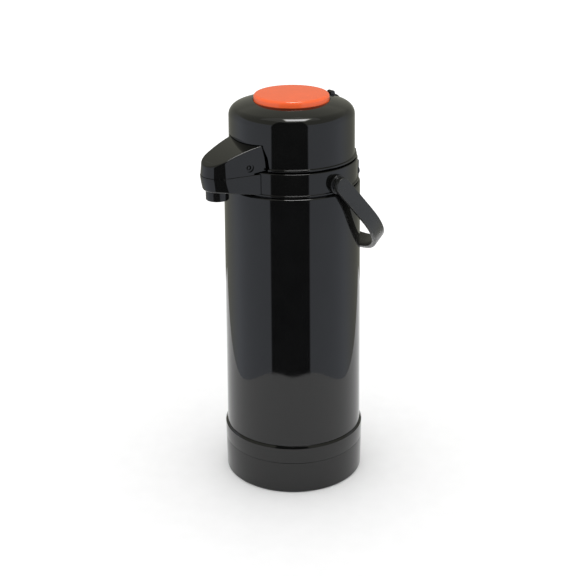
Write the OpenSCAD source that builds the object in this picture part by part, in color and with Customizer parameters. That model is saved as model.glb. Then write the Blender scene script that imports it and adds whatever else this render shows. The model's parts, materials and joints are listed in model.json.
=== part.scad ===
// Push-button thermal airpot for coffee, about three litres.
// Origin: on the vessel's axis at the level of the table. +Z is up.
// The spout points to -Y, the lid's hinge is at +Y, the handle pivots lie on the X axis.

/* [Vessel] */
// Outer radius of the base at its foot
base_foot_r = 78.8; // [76:0.1:82]
// Outer radius of the base at its lip
base_r = 79.3; // [76:0.1:82]
// Height of the lower tier of the base
base_split_z = 38; // [30:0.5:44]
// Height of the upper tier of the base, where the body starts
base_top_z = 56.3; // [52:0.1:60]
// Outer radius of the body at its foot
body_foot_r = 77; // [75:0.1:78]
// Outer radius of the body at its shoulder
body_top_r = 74; // [73:0.1:75]
// Level of the body's shoulder
body_top_z = 347; // [344:0.1:348]
// Level of the collar's foot, over the groove above the body
shoulder_z = 348.2; // [347.5:0.1:350]

/* [Collar and lid] */
// Outer radius of the collar
collar_r = 71; // [70:0.1:72]
// Level of the collar's top face
collar_top_z = 373.4; // [372.6:0.1:373.8]
// Outer radius of the lid's wall at its foot
lid_r = 68; // [66:0.1:69]
// Level of the lid's top where it meets the button
lid_top_z = 435.8; // [432:0.1:438]
// Radius of the dome of the lid's top
lid_dome = 111; // [100:1:130]
// Radius of the lid's rounded shoulder
lid_round = 11.2; // [9:0.1:13]
// Radius of the push button
button_r = 40.5; // [38:0.1:41]
// Level of the push button's top
button_top_z = 442.5; // [440:0.1:445]

/* [Spout] */
// Angle by which each side of the spout narrows towards its front
spout_taper = 14; // [10:0.1:16]
// Radius of the spout's round front
spout_front_r = 21.9; // [18:0.1:24]
// Distance of the round front's centre from the vessel's axis
spout_front_y = 94.2; // [90:0.1:96]
// Level of the spout's parting line
spout_split_z = 372; // [371.8:0.1:372.4]
// How far the walls above the parting line lean in, per unit of height
spout_lean = 0.1; // [0.05:0.01:0.15]
// Radius of the nozzle
nozzle_r = 12.2; // [11:0.1:13]
// Distance of the nozzle from the vessel's axis
nozzle_y = 99.6; // [98:0.1:101]

/* [Handle] */
// Half the handle's outer width
handle_half_w = 83; // [82:0.5:86]
// Thickness of the handle's strap
strap_t = 5; // [4:0.1:5]
// Width of the handle's strap
strap_w = 17.5; // [15:0.5:19]
// Level of the handle's pivots
pivot_z = 358.4; // [358.3:0.1:363]
// Distance of the handle's pivots behind the vessel's axis
pivot_y = 2.6; // [0:0.1:4]
// Length of the handle's straight arms
arm_len = 52.3; // [52:0.1:62]
// Angle of the hanging handle below level
hang_angle = 48.5; // [44:0.5:50]

/* [Hidden] */
$fn = 96;
gap = 0.3;
eps = 0.02;
wall = 2.4;
fit = 0.05;

// Base and feet
base_foot_z = 0.5;
base_floor_t = 3;
base_edge = 1.2;
foot_ring_r = 68;
foot_ring_w = 6;
base_lip = 2.3;
support_circle = 50;

// Glass liner
glass_t = 1.8;
liner_r = 62;
liner_inner_r = 58;
liner_foot_z = 22;
liner_gap = 4;
liner_shoulder_z = 296;
liner_neck_r = 34;
liner_lip_z = 349;
bottom_round = 34;

// Collar
bead_r = 72.3;
bead_h = 2.2;
mouth_r = 43.5;
mouth_floor_z = 353.5;
mouth_hole_r = 30;

// Spout
spout_root_y = 66;
spout_root_z = 349.7;
spout_floor_y = 97;
spout_floor_z = 355.3;
nozzle_lip_z = 345.2;
spout_wall = 2.5;
tube_z = 362;
tube_r = 3.6;
tube_bore = 2.4;
tube_bend = 9;

// Latch lever
latch_y = -76.2;
latch_z = 380;
latch_sweep = 28;
lever_rear_y = -59.1;
lever_rear_z = 375.5;
ridge_rear_z = 401.9;
ridge_slope = 0.16;
ridge_fall = 0.003;
pin_r = 2.5;
pin_half = 25;
dimple_r = 4.6;
dimple_x = 24.4;
hook_y = -107;
hook_z = 364;

// Lid
lid_foot_z = 374.4;
lid_rim_z = 375.2;
lid_rim_r = 70;
lid_rim_h = 2.2;
lid_wall = 2.2;
well_gap = 0.6;
well_r = button_r + well_gap;
well_foot_z = 404;
lid_plate_t = 3;
boss_circle = 55;
boss_r = 4;
lid_shoulder_r = lid_r - 0.45;
dome_r = 21.5;
dome_z = lid_top_z - sqrt(lid_dome * lid_dome - (well_r - dome_r) * (well_r - dome_r));
round_r = lid_shoulder_r - lid_round;
dome_angle = asin((round_r - dome_r) / (lid_dome - lid_round));
round_z = dome_z + (lid_dome - lid_round) * cos(dome_angle);
screw_r = 1.6;

// Button, plunger and bellows
button_travel = 18;
skirt_z = 410;
plunger_z = 410;
bellows_r = 35;
bellows_folds = 5;

// Hinge
hinge_y = 75.6;
hinge_z = 368;
hinge_face_y = 83.5;
hinge_half_w = 15;
hinge_foot_z = 329;
hinge_step_z = 357;
knuckle_half_w = 6;
knuckle_r = 3.6;
hinge_pin_r = 1.8;
release_z = 342.5;
release_half_w = 13;
release_half_h = 5;
release_proud = 3.7;

// Button lock
lock_y = 54.5;
lock_half_w = 3.4;

// Points of an arc, from angle a0 to angle a1
function arc(cx, cy, r, a0, a1, n = 8) =
    [for (i = [0 : n]) let (a = a0 + (a1 - a0) * i / n) [cx + r * cos(a), cy + r * sin(a)]];

// Turns a profile of [radius, height] points about the vessel's axis
module turned(points) {
    rotate_extrude($fn = 128) polygon(points);
}

// A ring between two radii and two levels
module ring(r_in, r_out, z0, z1) {
    turned([[r_in, z0], [r_out, z0], [r_out, z1], [r_in, z1]]);
}

// A cylinder along X between two x values
module x_rod(r, x0, x1, y, z) {
    translate([x0, y, z]) rotate([0, 90, 0]) cylinder(r = r, h = x1 - x0, $fn = 48);
}

// The same cylinder on both sides, between two distances from the vessel's axis
module x_rods(r, x0, x1, y, z) {
    x_rod(r, x0, x1, y, z);
    x_rod(r, -x1, -x0, y, z);
}

// A [y, z] profile extruded along X, equally to both sides
module x_slab(half_w, points) {
    translate([-half_w, 0, 0]) rotate([90, 0, 90]) linear_extrude(2 * half_w) polygon(points);
}

// A coil of round wire about Z; its ends are closed
module coil(r, wire, height, turns, steps = 16, sides = 8) {
    count = turns * steps;
    points = [for (i = [0 : count]) for (j = [0 : sides - 1])
        let (a = 360 * i / steps, b = -360 * j / sides, rr = r + wire * cos(b))
        [rr * cos(a), rr * sin(a), height * i / count + wire * sin(b)]];
    skin = [for (i = [0 : count - 1]) for (j = [0 : sides - 1])
        let (k = (j + 1) % sides)
        each [[i * sides + j, i * sides + k, (i + 1) * sides + k],
            [i * sides + j, (i + 1) * sides + k, (i + 1) * sides + j]]];
    first = [for (j = [sides - 1 : -1 : 0]) j];
    last = [for (j = [0 : sides - 1]) count * sides + j];
    polyhedron(points, concat(skin, [first, last]));
}

// ---- Base ----

module foot_ring() {
    color("dimgray") ring(foot_ring_r - foot_ring_w, foot_ring_r, 0, base_foot_z + 1.5);
}

module base_cap() {
    color([0.09, 0.09, 0.1]) difference() {
        turned(concat(
            [[0, base_foot_z]],
            arc(base_foot_r - base_edge, base_foot_z + base_edge, base_edge, -90, 0, 5),
            [[base_r - 0.2, base_split_z], [base_r - wall, base_split_z],
             [base_foot_r - wall, base_foot_z + base_floor_t + 2],
             [base_foot_r - wall - 2, base_foot_z + base_floor_t], [0, base_foot_z + base_floor_t]]));
        ring(foot_ring_r - foot_ring_w, foot_ring_r, base_foot_z - 1, base_foot_z + 1.5);
        support_holes(screw_r + 0.1);
    }
}

module base_collar() {
    color([0.09, 0.09, 0.1]) turned(
        [[base_r - wall - 3, base_split_z - 8], [base_r - wall - gap, base_split_z - 8],
         [base_r - wall - gap, base_split_z + gap], [base_r - 0.4, base_split_z + gap],
         [base_r, base_split_z + 1], [base_r, base_top_z - 0.4], [base_r - 0.2, base_top_z],
         [body_foot_r + 0.2, base_top_z + base_lip],
         [body_foot_r - 3, base_top_z + base_lip], [body_foot_r - 3, base_split_z + 4]]);
}

module support_holes(r) {
    for (a = [90 : 120 : 330])
        rotate([0, 0, a]) translate([support_circle, 0, 2]) cylinder(r = r, h = 12, $fn = 32);
}

module liner_support() {
    color("gray") difference() {
        union() {
            ring(28, 58, base_foot_z + base_floor_t, base_foot_z + base_floor_t + 3);
            ring(36, 39, base_foot_z + base_floor_t + 3, 15);
        }
        support_holes(screw_r + 0.1);
    }
}

module support_screws() {
    color("silver") for (a = [90 : 120 : 330])
        rotate([0, 0, a]) translate([support_circle, 0, 0]) {
            translate([0, 0, 2.1]) cylinder(r = screw_r, h = 6, $fn = 32);
            translate([0, 0, 7.05]) cylinder(r = 3, h = 2.2, $fn = 32);
        }
}

module liner_cushion() {
    color([0.2, 0.2, 0.2]) difference() {
        ring(24, 50, 15, 30);
        turned(concat([[0, liner_foot_z - gap]],
            arc(liner_r - bottom_round, liner_foot_z + bottom_round, bottom_round + gap, -90, -10, 8),
            [[0, 60]]));
    }
}

// ---- Body and liner ----

module body_shell() {
    t = 1;
    edge = 1.8;
    neck_r = collar_r - 1;
    color([0.08, 0.08, 0.09]) turned(concat(
        [[body_foot_r, base_top_z + base_lip + 0.1], [body_top_r, body_top_z - edge]],
        arc(body_top_r - edge, body_top_z - edge, edge, 0, 90, 6),
        [[neck_r, body_top_z], [neck_r, shoulder_z - 0.1], [neck_r - t, shoulder_z - 0.1],
         [neck_r - t, body_top_z - t], [body_top_r - edge, body_top_z - t],
         [body_top_r - t, body_top_z - edge], [body_foot_r - t, base_top_z + base_lip + 0.1]]));
}

// Outline of one glass wall's outer side, from the foot's centre to the lip
function liner_side(r, foot, neck, top, round_r, shoulder) = concat(
    [[0, foot]],
    arc(r - round_r, foot + round_r, round_r, -90, 0, 8),
    arc(r - 26, shoulder, 26, 0, 62, 6),
    [[neck, shoulder + 36], [neck, top]]);

module liner_outer() {
    inner = liner_side(liner_r - glass_t, liner_foot_z + glass_t, liner_neck_r - glass_t,
        liner_lip_z, bottom_round - glass_t, liner_shoulder_z);
    color([0.8, 0.85, 0.86, 0.5]) union() {
        turned(concat(
            liner_side(liner_r, liner_foot_z, liner_neck_r, liner_lip_z, bottom_round, liner_shoulder_z),
            [for (i = [len(inner) - 1 : -1 : 0]) inner[i]]));
        translate([0, 0, liner_foot_z - 4]) cylinder(r = 3, h = 5, $fn = 32);
    }
}

module liner_inner() {
    foot = liner_foot_z + liner_gap;
    neck = liner_neck_r - glass_t - 1.2;
    inner = liner_side(liner_inner_r - glass_t, foot + glass_t, neck - glass_t,
        liner_lip_z, bottom_round - liner_gap - glass_t, liner_shoulder_z - 2);
    color([0.8, 0.85, 0.86, 0.5]) union() {
        turned(concat(
            liner_side(liner_inner_r, foot, neck, liner_lip_z, bottom_round - liner_gap,
                liner_shoulder_z - 2),
            [for (i = [len(inner) - 1 : -1 : 0]) inner[i]]));
        ring(neck - glass_t, liner_neck_r - glass_t, liner_lip_z - 2, liner_lip_z);
    }
}

module liner_spacers() {
    r_in = liner_inner_r + gap;
    r_out = liner_r - glass_t - gap;
    color("wheat") for (a = [30 : 120 : 270])
        rotate([0, 0, a]) translate([(r_in + r_out) / 2, 0, 80])
            cube([r_out - r_in - 0.2, 6, 14], center = true);
}

module neck_gasket() {
    color([0.25, 0.25, 0.26]) ring(mouth_hole_r, liner_neck_r + 4, liner_lip_z, mouth_floor_z);
}

// ---- Collar, stem and spout ----

module collar() {
    color([0.09, 0.09, 0.1]) difference() {
        turned(concat(
            [[mouth_hole_r, mouth_floor_z], [mouth_r + wall, mouth_floor_z],
             [mouth_r + wall, collar_top_z - wall], [collar_r - wall, collar_top_z - wall],
             [collar_r - wall, shoulder_z], [bead_r - 0.7, shoulder_z], [bead_r, shoulder_z + 0.7],
             [bead_r, shoulder_z + bead_h - 0.7], [collar_r, shoulder_z + bead_h]],
            arc(collar_r - 1, collar_top_z - 1, 1, 0, 90, 4),
            [[mouth_r, collar_top_z], [mouth_r, mouth_floor_z + wall],
             [mouth_hole_r, mouth_floor_z + wall]]));
        translate([0, -30, tube_z]) rotate([90, 0, 0]) cylinder(r = tube_r + 0.1, h = 50, $fn = 48);
    }
}

// The collar's outside, grown by 0.02, for cutting the parts that stand against it
module collar_outside() {
    translate([0, 0, 300]) cylinder(r = collar_r + eps, h = 100, $fn = 128);
    translate([0, 0, 300]) cylinder(r = bead_r + eps, h = shoulder_z + bead_h + eps - 300, $fn = 128);
}

module dip_tube() {
    color([0.85, 0.85, 0.8]) ring(3.9, 5, 36, mouth_floor_z + wall + gap);
}

module stem_head() {
    bar_z = mouth_floor_z + wall;
    color("gray") difference() {
        union() {
            translate([0, 0, bar_z - 8]) cylinder(r = 7.5, h = 18, $fn = 64);
            translate([-2, -38, bar_z]) cube([4, 76, 2]);
            translate([0, 0, tube_z]) rotate([90, 0, 0]) cylinder(r = 5.5, h = 14, $fn = 48);
        }
        translate([0, 0, bar_z - 9]) cylinder(r = 5.05, h = 9 + gap, $fn = 64);
        translate([0, 0, bar_z - 9]) cylinder(r = 3.4, h = 14, $fn = 64);
        translate([0, 0.01, tube_z]) rotate([90, 0, 0]) cylinder(r = 2.4, h = 16, $fn = 48);
        translate([0, -9, tube_z]) rotate([90, 0, 0]) cylinder(r = tube_r + 0.05, h = 8, $fn = 48);
    }
}

module stem_seal() {
    color([0.15, 0.15, 0.15]) translate([0, 0, mouth_floor_z - 3]) rotate_extrude($fn = 64)
        translate([8.3, 0]) circle(r = 0.75, $fn = 16);
}

module outlet_tube() {
    run = nozzle_y - tube_bend;
    color([0.8, 0.8, 0.78]) difference() {
        outlet_path(tube_r);
        outlet_path(tube_bore, 1);
    }
    module outlet_path(r, past = 0) {
        translate([0, -9.2 + past, tube_z]) rotate([90, 0, 0])
            cylinder(r = r, h = run - 9.2 + past + eps, $fn = 48);
        translate([0, -run, tube_z - tube_bend]) rotate([90, 0, -90])
            rotate_extrude(angle = 90, $fn = 48) translate([tube_bend, 0]) circle(r = r, $fn = 48);
        translate([0, -nozzle_y, 347.5 - past])
            cylinder(r = r, h = tube_z - tube_bend - 347.5 + past + eps, $fn = 48);
    }
}

// Half the spout's width at y, shrunk by inset
function spout_half(y, inset = 0) =
    (spout_front_r - inset + (y + spout_front_y) * sin(spout_taper)) / cos(spout_taper);

// Spout seen from above, shrunk by inset
module spout_plan(inset) {
    front_r = spout_front_r - inset;
    rear = spout_half(-50, inset);
    touch = [front_r * cos(spout_taper), -spout_front_y - front_r * sin(spout_taper)];
    union() {
        translate([0, -spout_front_y]) circle(r = front_r, $fn = 96);
        polygon([touch, [rear, -50], [-rear, -50], [-touch[0], touch[1]]]);
    }
}

// Everything outside the leaning side walls of the spout's upper part, shrunk by inset
module outside_walls(inset) {
    for (turn = [-spout_taper, 180 + spout_taper])
        translate([0, -spout_front_y, spout_split_z]) rotate([0, 0, turn])
            translate([spout_front_r - inset + 0.2, 0, 0]) rotate([0, -atan(spout_lean), 0])
                translate([0, -100, -20]) cube([60, 200, 100]);
}

// Side view of the spout's housing, with its floor raised by lift
function housing_side(lift, top) = let (slope = (spout_floor_z - spout_root_z) / (spout_floor_y - spout_root_y))
    [[-50, spout_root_z + lift + slope * (50 - spout_root_y)], [-spout_floor_y, spout_floor_z + lift],
     [-125, spout_floor_z + lift], [-125, top], [-50, top]];

module spout_housing() {
    color([0.09, 0.09, 0.1]) difference() {
        intersection() {
            translate([0, 0, 300]) linear_extrude(100) spout_plan(0);
            x_slab(60, housing_side(0, spout_split_z - gap));
        }
        intersection() {
            translate([0, 0, 300]) linear_extrude(100) spout_plan(spout_wall);
            x_slab(60, housing_side(spout_wall, spout_split_z + 5));
        }
        collar_outside();
        translate([0, -nozzle_y, 340]) cylinder(r = nozzle_r + fit, h = spout_floor_z - 340, $fn = 64);
        translate([0, -nozzle_y, 340]) cylinder(r = nozzle_r - 2.5, h = 30, $fn = 64);
    }
}

module nozzle() {
    color([0.05, 0.05, 0.05]) translate([0, -nozzle_y, 0]) difference() {
        union() {
            translate([0, 0, nozzle_lip_z])
                cylinder(r = nozzle_r, h = spout_floor_z - eps - nozzle_lip_z, $fn = 64);
            translate([0, 0, spout_floor_z - 1]) cylinder(r = nozzle_r - 2.6, h = 3.5, $fn = 64);
        }
        translate([0, 0, nozzle_lip_z - 1]) cylinder(r = nozzle_r - 2.5, h = 4, $fn = 64);
        translate([0, 0, nozzle_lip_z]) cylinder(r = tube_r + fit, h = 20, $fn = 48);
        translate([0, 0, tube_z - tube_bend - 0.5]) cylinder(r = nozzle_r - 4.6, h = 20, $fn = 48);
    }
}

// ---- Hinge ----

module hinge_block() {
    upper_y = hinge_y + knuckle_r;
    color([0.09, 0.09, 0.1]) difference() {
        union() {
            x_slab(hinge_half_w, [[60, hinge_foot_z], [hinge_face_y - 1, hinge_foot_z],
                [hinge_face_y, hinge_foot_z + 1], [hinge_face_y, hinge_step_z - 1],
                [hinge_face_y - 1, hinge_step_z], [upper_y, hinge_step_z], [upper_y, hinge_z],
                [hinge_y, hinge_z + knuckle_r - 0.4], [60, hinge_z + knuckle_r - 0.4]]);
            x_rod(knuckle_r, -hinge_half_w, hinge_half_w, hinge_y, hinge_z);
        }
        translate([0, 0, shoulder_z - 40]) cylinder(r = body_top_r + 0.5, h = 40, $fn = 128);
        collar_outside();
        translate([-knuckle_half_w - gap, 60, hinge_z - 7])
            cube([2 * (knuckle_half_w + gap), 40, 20]);
        x_rod(hinge_pin_r + fit, -hinge_half_w - 1, hinge_half_w + 1, hinge_y, hinge_z);
        release_shape(gap, hinge_face_y - 4.2, hinge_face_y + 1);
    }
}

module hinge_pin() {
    color("silver") x_rod(hinge_pin_r, -hinge_half_w + 0.5, hinge_half_w - 0.5, hinge_y, hinge_z);
}

// Oval of the release button, grown by extra, between two y values
module release_shape(extra, y0, y1) {
    r = release_half_h + extra;
    side = release_half_w - release_half_h;
    translate([0, y1, release_z]) rotate([90, 0, 0]) linear_extrude(y1 - y0) union() {
        translate([side, 0]) circle(r = r, $fn = 48);
        translate([-side, 0]) circle(r = r, $fn = 48);
        square([2 * side, 2 * r], center = true);
    }
}

module release_button() {
    color([0.05, 0.05, 0.05]) release_shape(0, hinge_face_y - 2.2, hinge_face_y + release_proud);
}

// ---- Handle ----

module pivot_bosses() {
    color([0.06, 0.06, 0.06]) difference() {
        x_rods(10.3, collar_r - 8, handle_half_w - strap_t - 0.4, pivot_y, pivot_z);
        collar_outside();
        x_rods(4, collar_r - 9, handle_half_w, pivot_y, pivot_z);
    }
}

module pivot_pins() {
    color("silver") x_rods(4 - fit, collar_r + 0.3, handle_half_w - 1.5, pivot_y, pivot_z);
}

// Outline of the handle in its own plane, grown inward by inset
module bail_plan(inset) {
    half = handle_half_w - inset;
    union() {
        translate([-half, -9]) square([2 * half, arm_len + 9]);
        translate([0, arm_len]) circle(r = half, $fn = 128);
    }
}

module handle() {
    color([0.1, 0.1, 0.1]) translate([0, pivot_y, pivot_z]) rotate([-hang_angle, 0, 0]) difference() {
        union() {
            translate([0, 0, -strap_w / 2]) linear_extrude(strap_w) difference() {
                bail_plan(0);
                bail_plan(strap_t);
                translate([-100, -60]) square([200, 60]);
            }
            x_rods(strap_w / 2, handle_half_w - strap_t, handle_half_w, 0, 0);
        }
        x_rods(4, handle_half_w - strap_t - 1, handle_half_w - 1.4, 0, 0);
    }
}

// ---- Lid ----

// Top and shoulder of the lid, shrunk by inset
function lid_side(inset) = concat(
    arc(round_r, round_z, lid_round - inset, 0, 90 - dome_angle, 8),
    arc(dome_r, dome_z, lid_dome - inset, 90 - dome_angle, 85, 4));

// Height of the lid's outside at radius r
function lid_height(r) = r < round_r + lid_round * sin(dome_angle)
    ? dome_z + sqrt(lid_dome * lid_dome - (r - dome_r) * (r - dome_r))
    : round_z + sqrt(lid_round * lid_round - (r - round_r) * (r - round_r));

// Space behind the spout that the latch lever turns in, grown by extra
module latch_pocket(extra) {
    half = spout_half(lever_rear_y) + 0.8 + extra;
    rear_y = lever_rear_y + 18;
    lift = 0.5 + extra;
    intersection() {
        x_rod(latch_sweep + 0.4 + extra, -half, half, latch_y, latch_z);
        x_slab(half, concat([[rear_y - 66, latch_z - 40], [rear_y, latch_z - 40]],
            [for (y = [rear_y : -6 : rear_y - 66]) [y, ridge(y) + lift]]));
    }
}

module lid_shell() {
    color([0.09, 0.09, 0.1]) difference() {
        turned(concat(
            [[0, lid_rim_z], [lid_rim_r - 0.8, lid_rim_z], [lid_rim_r, lid_rim_z + 0.8],
             [lid_rim_r, lid_rim_z + lid_rim_h - 0.8], [lid_r, lid_rim_z + lid_rim_h]],
            lid_side(0), [[0, lid_height(dome_r)]]));
        difference() {
            turned(concat([[0, lid_rim_z - 1], [lid_r - lid_wall, lid_rim_z - 1]],
                lid_side(lid_wall), [[0, lid_height(dome_r) - lid_wall]]));
            latch_pocket(lid_wall);
            ring(well_r, well_r + lid_wall, well_foot_z, lid_top_z + 5);
            for (a = [45 : 90 : 315])
                rotate([0, 0, a]) translate([boss_circle, 0, lid_foot_z + lid_plate_t])
                    cylinder(r = boss_r, h = 60, $fn = 48);
        }
        latch_pocket(0);
        translate([0, 0, well_foot_z - 1]) cylinder(r = well_r, h = 60, $fn = 128);
        lid_screw_rods(screw_r + fit, 14);
        translate([-2.3, lock_y - 2, 420]) cube([4.6, 8, 30]);
    }
}

// Straight rods where the lid's screws go
module lid_screw_rods(r, h) {
    for (a = [45 : 90 : 315])
        rotate([0, 0, a]) translate([boss_circle, 0, lid_foot_z]) cylinder(r = r, h = h, $fn = 32);
}

module lid_base() {
    color("gray") difference() {
        union() {
            ring(0, lid_r - lid_wall - 0.1, lid_foot_z, lid_foot_z + lid_plate_t);
            ring(bellows_r + 1.3, bellows_r + 3, lid_foot_z + lid_plate_t - eps, 386);
        }
        latch_pocket(lid_wall + 0.1);
        lid_screw_rods(screw_r + 0.1, 10);
        translate([0, 0, lid_foot_z - 1]) cylinder(r = 3, h = 10, $fn = 48);
        translate([0, 0, -1]) lid_screw_rods(3.1, 2.6);
    }
}

module lid_screws() {
    color("silver") {
        lid_screw_rods(screw_r, 13);
        translate([0, 0, 0.1]) lid_screw_rods(3, 1.4);
    }
}

module lid_gasket() {
    color([0.25, 0.25, 0.26]) turned([
        [mouth_r - 3.8, lid_foot_z], [mouth_r - 3.8, lid_foot_z - 5], [mouth_r - 2.4, lid_foot_z - 5],
        [mouth_r - 1.4, lid_foot_z - 0.8], [mouth_r + 3, lid_foot_z - 0.8], [mouth_r + 3, lid_foot_z]]);
}

module air_valve() {
    color([0.25, 0.25, 0.26]) {
        translate([0, 0, lid_foot_z - 1.4]) cylinder(r = 7, h = 1.4, $fn = 48);
        translate([0, 0, lid_foot_z]) cylinder(r = 1.5, h = 5, $fn = 32);
    }
}

module lid_hinge_arm() {
    rim_top_z = lid_rim_z + lid_rim_h + eps;
    color([0.09, 0.09, 0.1]) difference() {
        union() {
            x_rod(knuckle_r, -knuckle_half_w, knuckle_half_w, hinge_y, hinge_z);
            x_slab(knuckle_half_w, [[hinge_y - knuckle_r, hinge_z], [hinge_y + knuckle_r, hinge_z],
                [hinge_y + 1, 380], [hinge_y - 1, 382], [60, 382], [60, 374.4],
                [hinge_y - knuckle_r, 374.4]]);
        }
        translate([0, 0, 370]) cylinder(r = lid_rim_r + eps, h = rim_top_z - 370, $fn = 128);
        translate([0, 0, 370]) cylinder(r = lid_r + eps, h = 60, $fn = 128);
        x_rod(hinge_pin_r + fit, -20, 20, hinge_y, hinge_z);
    }
}

module button() {
    edge = 3;
    top_t = 2.5;
    color([0.95, 0.35, 0.2]) turned(concat(
        [[button_r - 2.2, skirt_z], [button_r, skirt_z]],
        arc(button_r - edge, button_top_z - edge, edge, 0, 90, 6),
        [[0, button_top_z], [0, button_top_z - top_t]],
        [[button_r - edge, button_top_z - top_t], [button_r - 2.2, button_top_z - edge]]));
}

module plunger() {
    color("gray") difference() {
        union() {
            ring(0, bellows_r, plunger_z, plunger_z + 2);
            ring(0, 12, plunger_z + 2, button_top_z - 2.5);
        }
        translate([0, 0, plunger_z + 2]) cylinder(r = 9.6, h = 40, $fn = 64);
        translate([0, 0, plunger_z - 1]) cylinder(r = 2, h = 5, $fn = 32);
    }
}

module bellows() {
    z0 = lid_foot_z + lid_plate_t + 0.1;
    z1 = plunger_z - 0.1;
    pitch = (z1 - z0) / (2 * bellows_folds);
    side = [for (i = [0 : 2 * bellows_folds]) [bellows_r - (i % 2 == 0 ? 0 : 4), z0 + pitch * i]];
    color([0.3, 0.3, 0.3]) turned(concat(side,
        [for (i = [2 * bellows_folds : -1 : 0]) side[i] - [1.4, 0]]));
}

module bellows_spring() {
    wire = 1.1;
    z0 = lid_foot_z + lid_plate_t + wire + 0.1;
    color("silver") translate([0, 0, z0]) coil(16, wire, plunger_z - wire - 0.1 - z0, 5, 18);
}

// Knob, foot, neck and tongue of the slide that locks the button
module button_lock() {
    under = [for (d = [-2.5, 2.5, 6, 9]) [lock_y + d, lid_height(lock_y + d) + 0.3]];
    above = [for (d = [9.5, 6.5, 3.5]) [lock_y + d, lid_height(lock_y + d) + 1.4]];
    knob = [[2.8, 3.4], [1.2, 4.5], [-1.2, 4.5], [-2.5, 3.3]];
    base_z = lid_height(lock_y);
    color([0.04, 0.04, 0.04]) {
        x_slab(lock_half_w, concat(under, above, [for (p = knob) [lock_y + p[0], base_z + p[1]]]));
        translate([-1.8, lock_y - 1.5, base_z - 6]) cube([3.6, 3, 8]);
        translate([-5.5, lock_y - 5, base_z - 8]) cube([11, 7, 2]);
    }
}

// ---- Latch ----

module latch_bracket() {
    color([0.09, 0.09, 0.1]) difference() {
        union() {
            for (x = [-20.5, 17.5]) {
                x_rod(5.5, x, x + 3, latch_y, latch_z);
                translate([x, latch_y, lid_foot_z + 0.1]) cube([3, 30, 8.5]);
            }
        }
        x_rod(pin_r + fit, -40, 40, latch_y, latch_z);
        difference() {
            x_rod(100, -60, 60, latch_y, latch_z);
            x_rod(latch_sweep + 0.35, -61, 61, latch_y, latch_z);
        }
    }
}

module latch_pin() {
    color("silver") x_rod(pin_r, -pin_half, pin_half, latch_y, latch_z);
}

module latch_spring() {
    color("silver") translate([-8, latch_y, latch_z]) rotate([0, 90, 0]) coil(3.9, 0.6, 16, 8, 14, 6);
}

// Level of the lever's ridge at y
function ridge(y) = let (t = lever_rear_y - y) ridge_rear_z - ridge_slope * t - ridge_fall * t * t;

// Side view of the latch lever, with its ridge lowered by drop; its rear clears the collar
function lever_side(foot, drop, rear_y) = concat(
    [[-125, foot], [latch_y + 3.7, foot], [latch_y + 4.6, foot + 1.7], [lever_rear_y, lever_rear_z],
     [rear_y, lever_rear_z]],
    [for (y = [rear_y : -6 : -120]) [y, ridge(y) - drop]],
    [[-125, ridge(-125) - drop]]);

module latch_lever() {
    foot = spout_split_z + gap;
    color([0.09, 0.09, 0.1]) difference() {
        union() {
            difference() {
                intersection() {
                    translate([0, 0, 360]) linear_extrude(60) spout_plan(0);
                    x_slab(60, lever_side(foot, 0, lever_rear_y));
                }
                difference() {
                    intersection() {
                        translate([0, 0, 360]) linear_extrude(60) spout_plan(spout_wall);
                        x_slab(60, [[-125, 365], [-50, 365], [-50, ridge(-50) - spout_wall],
                            [-85, ridge(-85) - spout_wall], [-125, ridge(-125) - spout_wall]]);
                    }
                    outside_walls(spout_wall);
                }
                outside_walls(0);
            }
            translate([-6, hook_y - 2, hook_z]) cube([12, 4, ridge(hook_y) - 1 - hook_z]);
        }
        x_rod(pin_r + fit, -60, 60, latch_y, latch_z);
        x_rods(dimple_r, dimple_x, 60, latch_y, latch_z);
    }
}

foot_ring();
base_cap();
base_collar();
liner_support();
support_screws();
liner_cushion();
body_shell();
liner_outer();
liner_inner();
liner_spacers();
neck_gasket();
collar();
dip_tube();
stem_head();
stem_seal();
outlet_tube();
spout_housing();
nozzle();
hinge_block();
hinge_pin();
release_button();
pivot_bosses();
pivot_pins();
handle();
lid_shell();
lid_base();
lid_screws();
lid_gasket();
air_valve();
lid_hinge_arm();
bellows();
bellows_spring();
button();
plunger();
button_lock();
latch_bracket();
latch_pin();
latch_spring();
latch_lever();
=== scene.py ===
import json
import math

import bpy
import bmesh
from mathutils import Matrix, Vector


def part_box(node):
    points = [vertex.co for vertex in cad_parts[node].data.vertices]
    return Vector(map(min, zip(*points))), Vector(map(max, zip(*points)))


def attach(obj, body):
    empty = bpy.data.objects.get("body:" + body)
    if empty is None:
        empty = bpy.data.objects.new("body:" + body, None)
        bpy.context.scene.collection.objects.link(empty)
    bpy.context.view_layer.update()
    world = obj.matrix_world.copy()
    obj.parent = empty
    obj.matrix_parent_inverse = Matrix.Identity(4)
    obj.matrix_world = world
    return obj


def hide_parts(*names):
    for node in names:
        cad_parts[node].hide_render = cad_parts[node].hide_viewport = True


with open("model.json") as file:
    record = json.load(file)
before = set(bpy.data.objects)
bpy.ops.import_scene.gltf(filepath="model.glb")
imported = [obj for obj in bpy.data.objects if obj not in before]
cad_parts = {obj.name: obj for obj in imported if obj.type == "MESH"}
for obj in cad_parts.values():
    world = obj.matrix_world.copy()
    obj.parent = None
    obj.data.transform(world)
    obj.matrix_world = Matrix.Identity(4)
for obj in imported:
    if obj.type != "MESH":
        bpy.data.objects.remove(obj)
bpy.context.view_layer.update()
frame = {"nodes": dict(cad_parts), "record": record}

# Lengths below are in millimetres unless a comment says otherwise; MM turns them into metres.
MM = 0.001


# ---------------------------------------------------------------- sizes from the frame

def foot(node):
    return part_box(node)[0].z / MM


def top(node):
    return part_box(node)[1].z / MM


def half_x(node):
    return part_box(node)[1].x / MM


def middle_y(node):
    low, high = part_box(node)
    return (low.y + high.y) / 2 / MM


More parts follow.
